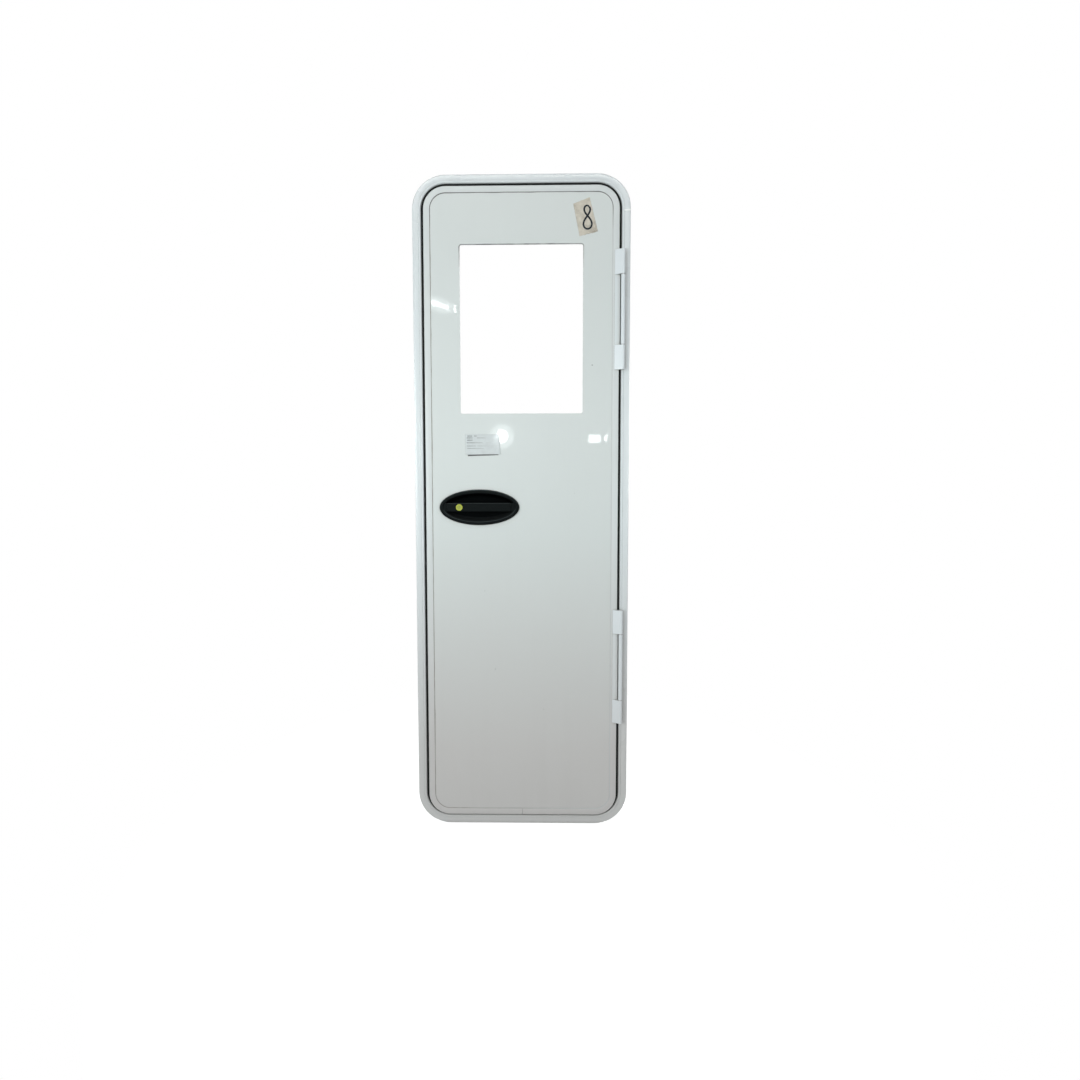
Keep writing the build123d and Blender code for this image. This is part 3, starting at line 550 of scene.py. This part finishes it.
def white_sealant(name):
    """Fresh white sealant with a satin skin."""
    p = Paint(name)
    tone = p.mix(p.noise(240.0, 3.0), (0.86, 0.87, 0.87), (0.92, 0.93, 0.93))
    return p.finish(tone, 0.35, p.bump(p.noise(420.0, 3.0), 0.00015))


def pen_ink(name):
    """Blue-black marker ink, thinner in the middle of a stroke."""
    p = Paint(name)
    thin = p.spread(p.noise(170.0, 4.0, 0.65), 0.42, 0.75)
    colour = p.mix(thin, (0.008, 0.011, 0.016), (0.035, 0.042, 0.052))
    return p.finish(colour, 0.55, Specular_IOR_Level=0.3)


def grimy_shaded_sealant(name):
    """Bead of old sealant: brown-grey on the latch side, pale on the hinge side, with painted shade under
    the head.
    """
    p = Paint(name)
    side = p.spread(p.axis("X"), -0.2, 0.22)
    head = p.spread(p.axis("Z"), 1.6, 1.66)
    patchy = p.spread(p.noise(21.0, 5.0, 0.7), 0.36, 0.68)
    colour = p.mix(side, (0.27, 0.245, 0.225), (0.5, 0.51, 0.515))
    colour = p.mix(p.maths("MULTIPLY", patchy, 0.5), colour, (0.52, 0.53, 0.53))
    # Painted shade: near black under the head, where the band above shades the bead.
    colour = p.mix(p.maths("MULTIPLY", head, 0.85), colour, (0.11, 0.105, 0.105))
    return p.finish(colour, 0.6, p.bump(p.noise(260.0, 3.0), 0.0002))


def dark_speck(name):
    """A fly speck or a chip in the paint."""
    p = Paint(name)
    ring = p.spread(p.noise(900.0, 3.0), 0.35, 0.65)
    return p.finish(p.mix(ring, (0.1, 0.1, 0.105), (0.3, 0.31, 0.32)), 0.7)


def seen_rays(tree):
    """1 for rays that show the background, from the camera or off metal and glass."""
    path = tree.nodes.new("ShaderNodeLightPath")
    seen = path.outputs["Is Camera Ray"]
    for name in ("Is Glossy Ray", "Is Transmission Ray"):
        either = tree.nodes.new("ShaderNodeMath")
        either.operation = "MAXIMUM"
        tree.links.new(seen, either.inputs[0])
        tree.links.new(path.outputs[name], either.inputs[1])
        seen = either.outputs["Value"]
    return seen


def studio_floor(name):
    """Pale floor that fades to white away from the object and takes its shadow near it."""
    p = Paint(name)
    grain = p.noise(40.0, 3.0)
    plain = p.finish(p.mix(grain, (0.3, 0.3, 0.3), (0.33, 0.33, 0.33)), 0.9, Specular_IOR_Level=0.0)
    near = p.add("ShaderNodeBsdfDiffuse")
    p.join((0.85, 0.85, 0.85), near.inputs["Color"])
    glow = p.add("ShaderNodeEmission")
    p.join(FLOOR_GLOW, glow.inputs["Strength"])
    lit = p.add("ShaderNodeAddShader")
    p.join(near.outputs[0], lit.inputs[0])
    p.join(glow.outputs[0], lit.inputs[1])
    white = p.add("ShaderNodeEmission")
    p.join(1.0, white.inputs["Strength"])
    distance = p.add("ShaderNodeVectorMath", operation="LENGTH")
    p.join(p.stretched((1.0, 1.0, 0.0)), distance.inputs[0])
    fade = p.add("ShaderNodeMixShader")
    p.join(p.spread(distance.outputs["Value"], 0.35, 1.0), fade.inputs[0])
    p.join(lit.outputs[0], fade.inputs[1])
    p.join(white.outputs[0], fade.inputs[2])
    choice = p.add("ShaderNodeMixShader")
    p.join(seen_rays(p.tree), choice.inputs[0])
    p.join(p.shader.outputs["BSDF"], choice.inputs[1])
    p.join(fade.outputs[0], choice.inputs[2])
    p.join(choice.outputs[0], p.tree.nodes["Material Output"].inputs["Surface"])
    return plain


def build(name, verts, faces, material, body, smooth=True):
    """A mesh piece that rides on a body. Points are in metres."""
    mesh = bpy.data.meshes.new(name)
    made = bmesh.new()
    points = [made.verts.new(v) for v in verts]
    for face in faces:
        made.faces.new([points[i] for i in face])
    bmesh.ops.recalc_face_normals(made, faces=made.faces)
    for face in made.faces:
        face.smooth = smooth
    made.to_mesh(mesh)
    made.free()
    mesh.materials.append(material)
    piece = bpy.data.objects.new(name, mesh)
    bpy.context.scene.collection.objects.link(piece)
    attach(piece, body)
    return piece


def closed_grid(columns, rows):
    """Faces of a sheet whose front and back are two grids of points, front first."""
    across = columns + 1
    size = across * (rows + 1)
    faces = []
    for j in range(rows):
        for i in range(columns):
            a = j * across + i
            quad = (a, a + 1, a + 1 + across, a + across)
            faces.append(quad)
            faces.append(tuple(k + size for k in reversed(quad)))
    rim = list(range(columns))
    rim += [j * across + columns for j in range(rows)]
    rim += [rows * across + i for i in range(columns, 0, -1)]
    rim += [j * across for j in range(rows, 0, -1)]
    for first, second in zip(rim, rim[1:] + rim[:1]):
        faces.append((second, first, first + size, second + size))
    return faces


def film(name, corners, grid, thickness, lift, material, tear=0.0):
    """A thin sheet on the skin between four corners, from bottom left round. lift(u, v) raises it."""
    low_left, low_right, high_right, high_left = [Vector(c) for c in corners]
    columns, rows = grid
    verts = []
    for layer in (1, 0):
        for j in range(rows + 1):
            v = j / rows
            for i in range(columns + 1):
                u = i / columns
                spot = (low_left.lerp(low_right, u)).lerp(high_left.lerp(high_right, u), v)
                if tear and j in (0, rows):
                    ragged = noise.noise(Vector((u * END_TEAR_WAVES, v * 4.0, 2.0)))
                    spot += (high_left - low_left).normalized() * ragged * tear
                if tear and i in (0, columns):
                    ragged = noise.noise(Vector((v * SIDE_TEAR_WAVES, u * 5.0, 7.0)))
                    across = (low_right - low_left).normalized()
                    spot += across * ragged * tear * SIDE_TEAR_SHARE
                raised = lift(u, v) + thickness * layer + FILM_RISE
                verts.append((spot.x * MM, SKIN_FRONT - raised * MM, spot.y * MM))
    return build(name, verts, closed_grid(columns, rows), material, "leaf")


def strokes(name, lines, width, raised, material):
    """Flat ink lines on the leaf: each line is a list of (x, z, width share)."""
    verts = []
    faces = []
    for line in lines:
        start = len(verts)
        for k, (x, z, share) in enumerate(line):
            back = Vector(line[max(k - 1, 0)][:2])
            ahead = Vector(line[min(k + 1, len(line) - 1)][:2])
            way = (ahead - back).normalized()
            side = Vector((-way.y, way.x)) * width * share / 2
            for sign in (1, -1):
                spot = Vector((x, z)) + side * sign
                verts.append((spot.x * MM, SKIN_FRONT - raised * MM, spot.y * MM))
        for k in range(len(line) - 1):
            a = start + 2 * k
            faces.append((a, a + 1, a + 3, a + 2))
    return build(name, verts, faces, material, "leaf", smooth=False)


def smooth_line(points, steps):
    """A curve through the points."""
    made = []
    for k in range(len(points) - 1):
        p0 = Vector(points[max(k - 1, 0)])
        p1 = Vector(points[k])
        p2 = Vector(points[k + 1])
        p3 = Vector(points[min(k + 2, len(points) - 1)])
        for s in range(steps):
            t = s / steps
            spot = p1 * 2 + (p2 - p0) * t + (p0 * 2 - p1 * 5 + p2 * 4 - p3) * t * t
            spot += (p1 * 3 - p0 - p2 * 3 + p3) * t * t * t
            made.append(spot / 2)
    made.append(Vector(points[-1]))
    return made


def rounded_loop(half_width, half_height, radius, middle, steps):
    """Points round a rounded rectangle with the outward way at each."""
    made = []
    for quarter in range(4):
        sign_x = 1 if quarter in (0, 3) else -1
        sign_z = 1 if quarter in (0, 1) else -1
        centre = Vector((sign_x * (half_width - radius), middle + sign_z * (half_height - radius)))
        for k in range(steps + 1):
            angle = math.radians(90.0 * quarter + 90.0 * k / steps)
            way = Vector((math.cos(angle), math.sin(angle)))
            made.append((centre + way * radius, way))
    dense = []
    for (spot, way), (next_spot, next_way) in zip(made, made[1:] + made[:1]):
        count = max(1, int((next_spot - spot).length / (LOOP_STEP * MM)))
        for k in range(count):
            dense.append((spot.lerp(next_spot, k / count), way.lerp(next_way, k / count).normalized()))
    return dense


def sealant_bead():
    """An uneven bead in the corner between the leaf's band and its skin."""
    low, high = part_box("leaf_edge_profile")
    half_width = (high.x - low.x) / 2 - BAND_WIDTH
    half_height = (high.z - low.z) / 2 - BAND_WIDTH
    middle = (high.z + low.z) / 2
    loop = rounded_loop(half_width, half_height, BAND_RADIUS, middle, LOOP_CORNER_STEPS)
    verts = []
    for spot, way in loop:
        patch = Vector((spot.x * SEALANT_WAVES, spot.y * SEALANT_WAVES, 1.0))
        swell = 1.0 + SEALANT_SWELL * noise.noise(patch)
        width = SEALANT_WIDTH * MM * swell
        rise = (SKIN_FRONT - low.y) * SEALANT_HEIGHT_SHARE
        section = [(SEALANT_LAP * MM, rise)]
        section += [(out * width, up * rise) for out, up in SEALANT_PROFILE]
        for out, up in section:
            front = SKIN_FRONT - up - SEALANT_RISE * MM
            verts.append((spot.x + way.x * out, front, spot.y + way.y * out))
    faces = []
    count = len(loop)
    across = len(SEALANT_PROFILE) + 1
    for k in range(count):
        for row in range(across - 1):
            a = k * across + row
            b = ((k + 1) % count) * across + row
            faces.append((a, b, b + 1, a + 1))
    return build("sealant_bead", verts, faces, grimy_shaded_sealant("grimy_shaded_sealant"), "leaf")


def window_head_shade():
    """A thin line of painted shade along the head of the cut-out and a little way down its sides."""
    reach = TRACE_REACH * MM
    centre_x = WINDOW_HALF_WIDTH - WINDOW_RADIUS
    centre_z = WINDOW_TOP - WINDOW_RADIUS
    radius = WINDOW_RADIUS + TRACE_WIDTH * MM / 2
    path = [Vector((centre_x + radius, WINDOW_TOP - reach))]
    for k in range(TRACE_HEAD_STEPS + 1):
        angle = math.radians(180.0 * k / TRACE_HEAD_STEPS)
        side = centre_x if k < TRACE_HEAD_STEPS / 2 else -centre_x
        path.append(Vector((side + radius * math.cos(angle), centre_z + radius * math.sin(angle))))
    path.append(Vector((-centre_x - radius, WINDOW_TOP - reach)))
    line = []
    for spot, ahead in zip(path, path[1:]):
        count = max(1, int((ahead - spot).length / (TRACE_STEP * MM)))
        for k in range(count):
            here = spot.lerp(ahead, k / count)
            patch = Vector((here.x * TRACE_WAVES, here.y * TRACE_WAVES, 5.0))
            swell = TRACE_THIN + TRACE_SWELL * noise.noise(patch)
            line.append((here.x / MM, here.y / MM, swell))
    return strokes("window_head_shade", [line], TRACE_WIDTH, TRACE_RISE, painted_head_shade("painted_head_shade"))


def joint_fill():
    """White sealant in the open joint of the cover strip, a little below the strip's crown."""
    low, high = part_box("frame_cover_strip")
    columns, rows = JOINT_FILL_GRID
    bottom = high.z - STRIP_JOINT_DROP - STRIP_JOINT_GAP / 2
    left = high.x - STRIP_WIDTH
    verts = []
    for depth in (0.0, STRIP_WALL):
        for j in range(rows + 1):
            for i in range(columns + 1):
                across = i / columns
                x = left + STRIP_WIDTH * across
                z = bottom + STRIP_JOINT_GAP * j / rows
                crown = JOINT_CROWN * (1 - (2 * across - 1) ** 2)
                rough = JOINT_FILL_ROUGH * MM * noise.noise(Vector((x * 420.0, z * 420.0, 3.0)))
                front = low.y + STRIP_EDGE_DROP - crown + JOINT_FILL_SETBACK * MM + rough
                verts.append((x, front + depth, z))
    faces = closed_grid(columns, rows)
    return build("joint_sealant", verts, faces, white_sealant("white_sealant"), "frame")


def screw(name, place, axis, body, material):
    """A low domed screw head with a cross recess, facing along axis."""
    spokes = SCREW_SPOKES
    turn = Vector((0, 0, 1)).rotation_difference(Vector(axis)).to_matrix().to_4x4()
    stand = Matrix.Translation(Vector(place)) @ turn
    verts = [stand @ Vector((0, 0, SCREW_CENTRE * MM))]
    for r in range(1, SCREW_RINGS + 1):
        radius = SCREW_HEAD_RADIUS * r / SCREW_RINGS
        for s in range(spokes):
            angle = 2 * math.pi * s / spokes + SCREW_TURN
            x = radius * math.cos(angle)
            y = radius * math.sin(angle)
            fall = SCREW_DOME_FALL * (radius / SCREW_HEAD_RADIUS) ** 2
            dome = SCREW_DOME * math.sqrt(max(0.0, 1 - fall))
            turned = angle - CROSS_TURN
            u = radius * math.cos(turned)
            v = radius * math.sin(turned)
            in_cross = min(abs(u), abs(v)) < CROSS_HALF_WIDTH and max(abs(u), abs(v)) < CROSS_REACH
            height = SCREW_RECESS if in_cross else dome
            verts.append(stand @ Vector((x * MM, y * MM, height * MM)))
    faces = [(0, 1 + s, 1 + (s + 1) % spokes) for s in range(spokes)]
    for r in range(SCREW_RINGS - 1):
        for s in range(spokes):
            a = 1 + r * spokes + s
            b = 1 + r * spokes + (s + 1) % spokes
            faces.append((a, a + spokes, b + spokes, b))
    piece = build(name, verts, faces, material, body, smooth=False)
    return piece


def speck(name, x, z, radius, material):
    """A small ragged spot on the skin."""
    verts = [(x * MM, SKIN_FRONT - SPECK_RISE * MM, z * MM)]
    for k in range(SPECK_SIDES):
        angle = 2 * math.pi * k / SPECK_SIDES
        across = math.cos(angle)
        along = math.sin(angle)
        reach = radius * (1 + SPECK_RAGGED * noise.noise(Vector((across * 2, along * 2, x))))
        rim_x = (x + reach * across) * MM
        rim_z = (z + reach * along) * MM
        verts.append((rim_x, SKIN_FRONT - LOW_MARK_RISE * MM, rim_z))
    faces = [(0, 1 + k, 1 + (k + 1) % SPECK_SIDES) for k in range(SPECK_SIDES)]
    return build(name, verts, faces, material, "leaf")


def finish_nodes():
    """Gives every CAD node its finish."""
    coats = {name: paint_coat(name, *values) for name, values in COATS.items()}
    black_rubber = rubber("seal_rubber")
    plastic = moulded_plastic("handle_plastic", SKIN_FRONT)
    inner_plastic = moulded_plastic("inner_plastic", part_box("inner_handle_lever")[1].y)
    steel = brushed_steel("steel")
    pins = coated_metal("pin_blacking", (0.006, 0.007, 0.0075), (0.02, 0.021, 0.022), 0.5)
    barrel = coated_metal("lock_finish", (0.42, 0.455, 0.06), (0.35, 0.375, 0.065), 0.38)
    plug = coated_metal("plug_finish", (0.36, 0.4, 0.075), (0.3, 0.325, 0.075), 0.42)
    rails = painted_wood("painted_rails", "X")
    stiles = painted_wood("painted_stiles", "Z")
    finishes = {
        "frame_profile": coats["frame_paint"],
        "frame_cover_strip": coats["cover_strip"],
        "weather_seal": black_rubber,
        "stop_seal": black_rubber,
        "leaf_edge_profile": coats["band_paint"],
        "outer_skin": coats["skin_paint"],
        "inner_skin": grained_laminate("inner_laminate"),
        "foam_core": closed_foam("foam"),
        "window_rail_top": rails,
        "window_rail_bottom": rails,
        "window_stile_left": stiles,
        "window_stile_right": stiles,
        "lock_block": softwood("timber", "X"),
        "handle_bezel": plastic,
        "handle_bar": plastic,
        "handle_pivot_pins": pins,
        "inner_handle_plate": inner_plastic,
        "inner_handle_lever": inner_plastic,
        "lock_barrel": barrel,
        "lock_plug": plug,
    }
    for name, node in nodes.items():
        if "knuckle" in name:
            finish = coats["hinge_paint"]
        elif "leaf_plate" in name:
            finish = coats["plate_paint"]
        else:
            finish = finishes.get(name, steel)
        node.data.materials.clear()
        node.data.materials.append(finish)
    return steel


def add_trim(steel):
    """The label, tape, pen mark, specks, sealant and screws."""

    def curl(u, v):
        edge = max(0.0, 1 - v / LABEL_CURL_SHARE)
        return LABEL_CURL * edge * edge * (1 - LABEL_CURL_FADE * u)

    film("label", LABEL_CORNERS, LABEL_GRID, LABEL_THICKNESS, curl, label_film("label_film"))
    bars = []
    for z, height, spans in PRINT_ROWS:
        for left, right in spans:
            bars.append([(left, z, height), ((left + right) / 2, z, height), (right, z, height)])
    strokes("label_lines", bars, 1.0, PRINT_RISE, faded_print("faded_print"))
    # A painted shadow under the label's lifted lower edge.
    edge_shadow = painted_edge_shadow("painted_edge_shadow")
    strokes("label_edge_shadow", [LABEL_SHADOW_LINE], LABEL_SHADOW_WIDTH, LOW_MARK_RISE, edge_shadow)

    def wrinkle(u, v):
        return TAPE_WRINKLE * max(0.0, noise.noise(Vector((u * 3.0, v * 6.0, 4.0))))

    crepe = crepe_paper("crepe_paper")
    film("masking_tape", TAPE_CORNERS, TAPE_GRID, TAPE_THICKNESS, wrinkle, crepe, TAPE_TEAR)
    curve = smooth_line(PEN_LINE, PEN_STEPS)
    pen = []
    for k, spot in enumerate(curve):
        pressed = min(1.0, k / PEN_START, (len(curve) - k) / PEN_END)
        pen.append((spot.x, spot.y, PEN_THIN + (1 - PEN_THIN) * pressed))
    strokes("pen_mark", [pen], PEN_WIDTH, PEN_RISE, pen_ink("pen_ink"))
    dark_mark = dark_speck("dark_speck")
    for number, (x, z, radius) in enumerate(SPECKS):
        speck(f"speck_{number}", x, z, radius, dark_mark)
    sealant_bead()
    joint_fill()
    window_head_shade()

    low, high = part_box("inner_handle_plate")
    middle = (low + high) / 2
    for number, (dx, dz) in enumerate(PLATE_SCREWS):
        place = (middle.x + dx * MM, high.y, middle.z + dz * MM)
        screw(f"plate_screw_{number}", place, (0, 1, 0), "leaf", steel)
    low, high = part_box("latch_forend")
    middle = (low + high) / 2
    for number, dz in enumerate(FOREND_SCREWS):
        place = (low.x, middle.y, middle.z + dz * MM)
        screw(f"forend_screw_{number}", place, (-1, 0, 0), "leaf", steel)
    low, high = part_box("latch_keeper")
    middle = (low + high) / 2
    for number, dz in enumerate(KEEPER_SCREWS):
        place = (low.x + KEEPER_PLATE, middle.y, middle.z + dz * MM)
        screw(f"keeper_screw_{number}", place, (1, 0, 0), "frame", steel)


def add_camera():
    """The photograph's viewpoint."""
    data = bpy.data.cameras.new("camera")
    data.sensor_width = CAMERA_SENSOR
    data.lens = CAMERA_LENS
    data.shift_x, data.shift_y = CAMERA_SHIFT
    camera = bpy.data.objects.new("camera", data)
    turn = Matrix.Rotation(CAMERA_TURN, 4, "Z")
    pitch = Matrix.Rotation(math.pi / 2 - CAMERA_PITCH_DOWN, 4, "X")
    roll = Matrix.Rotation(CAMERA_ROLL, 4, "Z")
    camera.matrix_world = Matrix.Translation(CAMERA_PLACE) @ turn @ pitch @ roll
    bpy.context.scene.collection.objects.link(camera)
    bpy.context.scene.camera = camera


def add_lamp(name, place, aim, size, power, colour, shape="RECTANGLE", turn=0.0):
    """A lamp of a width and a height that faces a point."""
    data = bpy.data.lights.new(name, "AREA")
    data.shape = shape
    data.size, data.size_y = size
    data.energy = power
    data.color = colour
    data.spread = LAMP_SPREAD
    lamp = bpy.data.objects.new(name, data)
    facing = (Vector(aim) - Vector(place)).to_track_quat("-Z", "Y").to_matrix().to_4x4()
    lamp.matrix_world = Matrix.Translation(place) @ facing @ Matrix.Rotation(math.radians(turn), 4, "Z")
    lamp.visible_camera = False
    bpy.context.scene.collection.objects.link(lamp)


def add_glint(name, shape, spot, size, turn, power):
    """A small lamp whose mirror image falls on a spot of the outer skin, as seen by the camera."""
    point = Vector((spot[0], SKIN_FRONT, spot[1]))
    sight = point - Vector(CAMERA_PLACE)
    place = point + Vector((sight.x, -sight.y, sight.z)) * GLINT_REACH
    add_lamp(f"glint_{name}", place, point, size, power, COOL_LIGHT, shape, turn)


def add_stage():
    """Floor, world and lamps."""
    half = FLOOR_SIZE / 2
    level = load_low.z - FLOOR_GAP
    mesh = bpy.data.meshes.new("floor")
    corners = [(-half, -half, level), (half, -half, level), (half, half, level), (-half, half, level)]
    mesh.from_pydata(corners, [], [(0, 1, 2, 3)])
    floor = bpy.data.objects.new("floor", mesh)
    mesh.materials.append(studio_floor("studio_floor"))
    bpy.context.scene.collection.objects.link(floor)
    world = bpy.data.worlds.new("studio")
    world.use_nodes = True
    tree = world.node_tree
    sky = tree.nodes["Background"]
    sky.inputs["Color"].default_value = (1.0, 1.0, 1.0, 1.0)
    strength = tree.nodes.new("ShaderNodeMapRange")
    tree.links.new(seen_rays(tree), strength.inputs["Value"])
    strength.inputs["To Min"].default_value = AMBIENT
    strength.inputs["To Max"].default_value = 1.0
    tree.links.new(strength.outputs["Result"], sky.inputs["Strength"])
    bpy.context.scene.world = world
    for lamp in SOFT_LAMPS:
        add_lamp(*lamp)
    for glint in GLINTS:
        add_glint(*glint)


bpy.context.scene.view_settings.view_transform = "Standard"
steel_finish = finish_nodes()
add_trim(steel_finish)
add_camera()
add_stage()
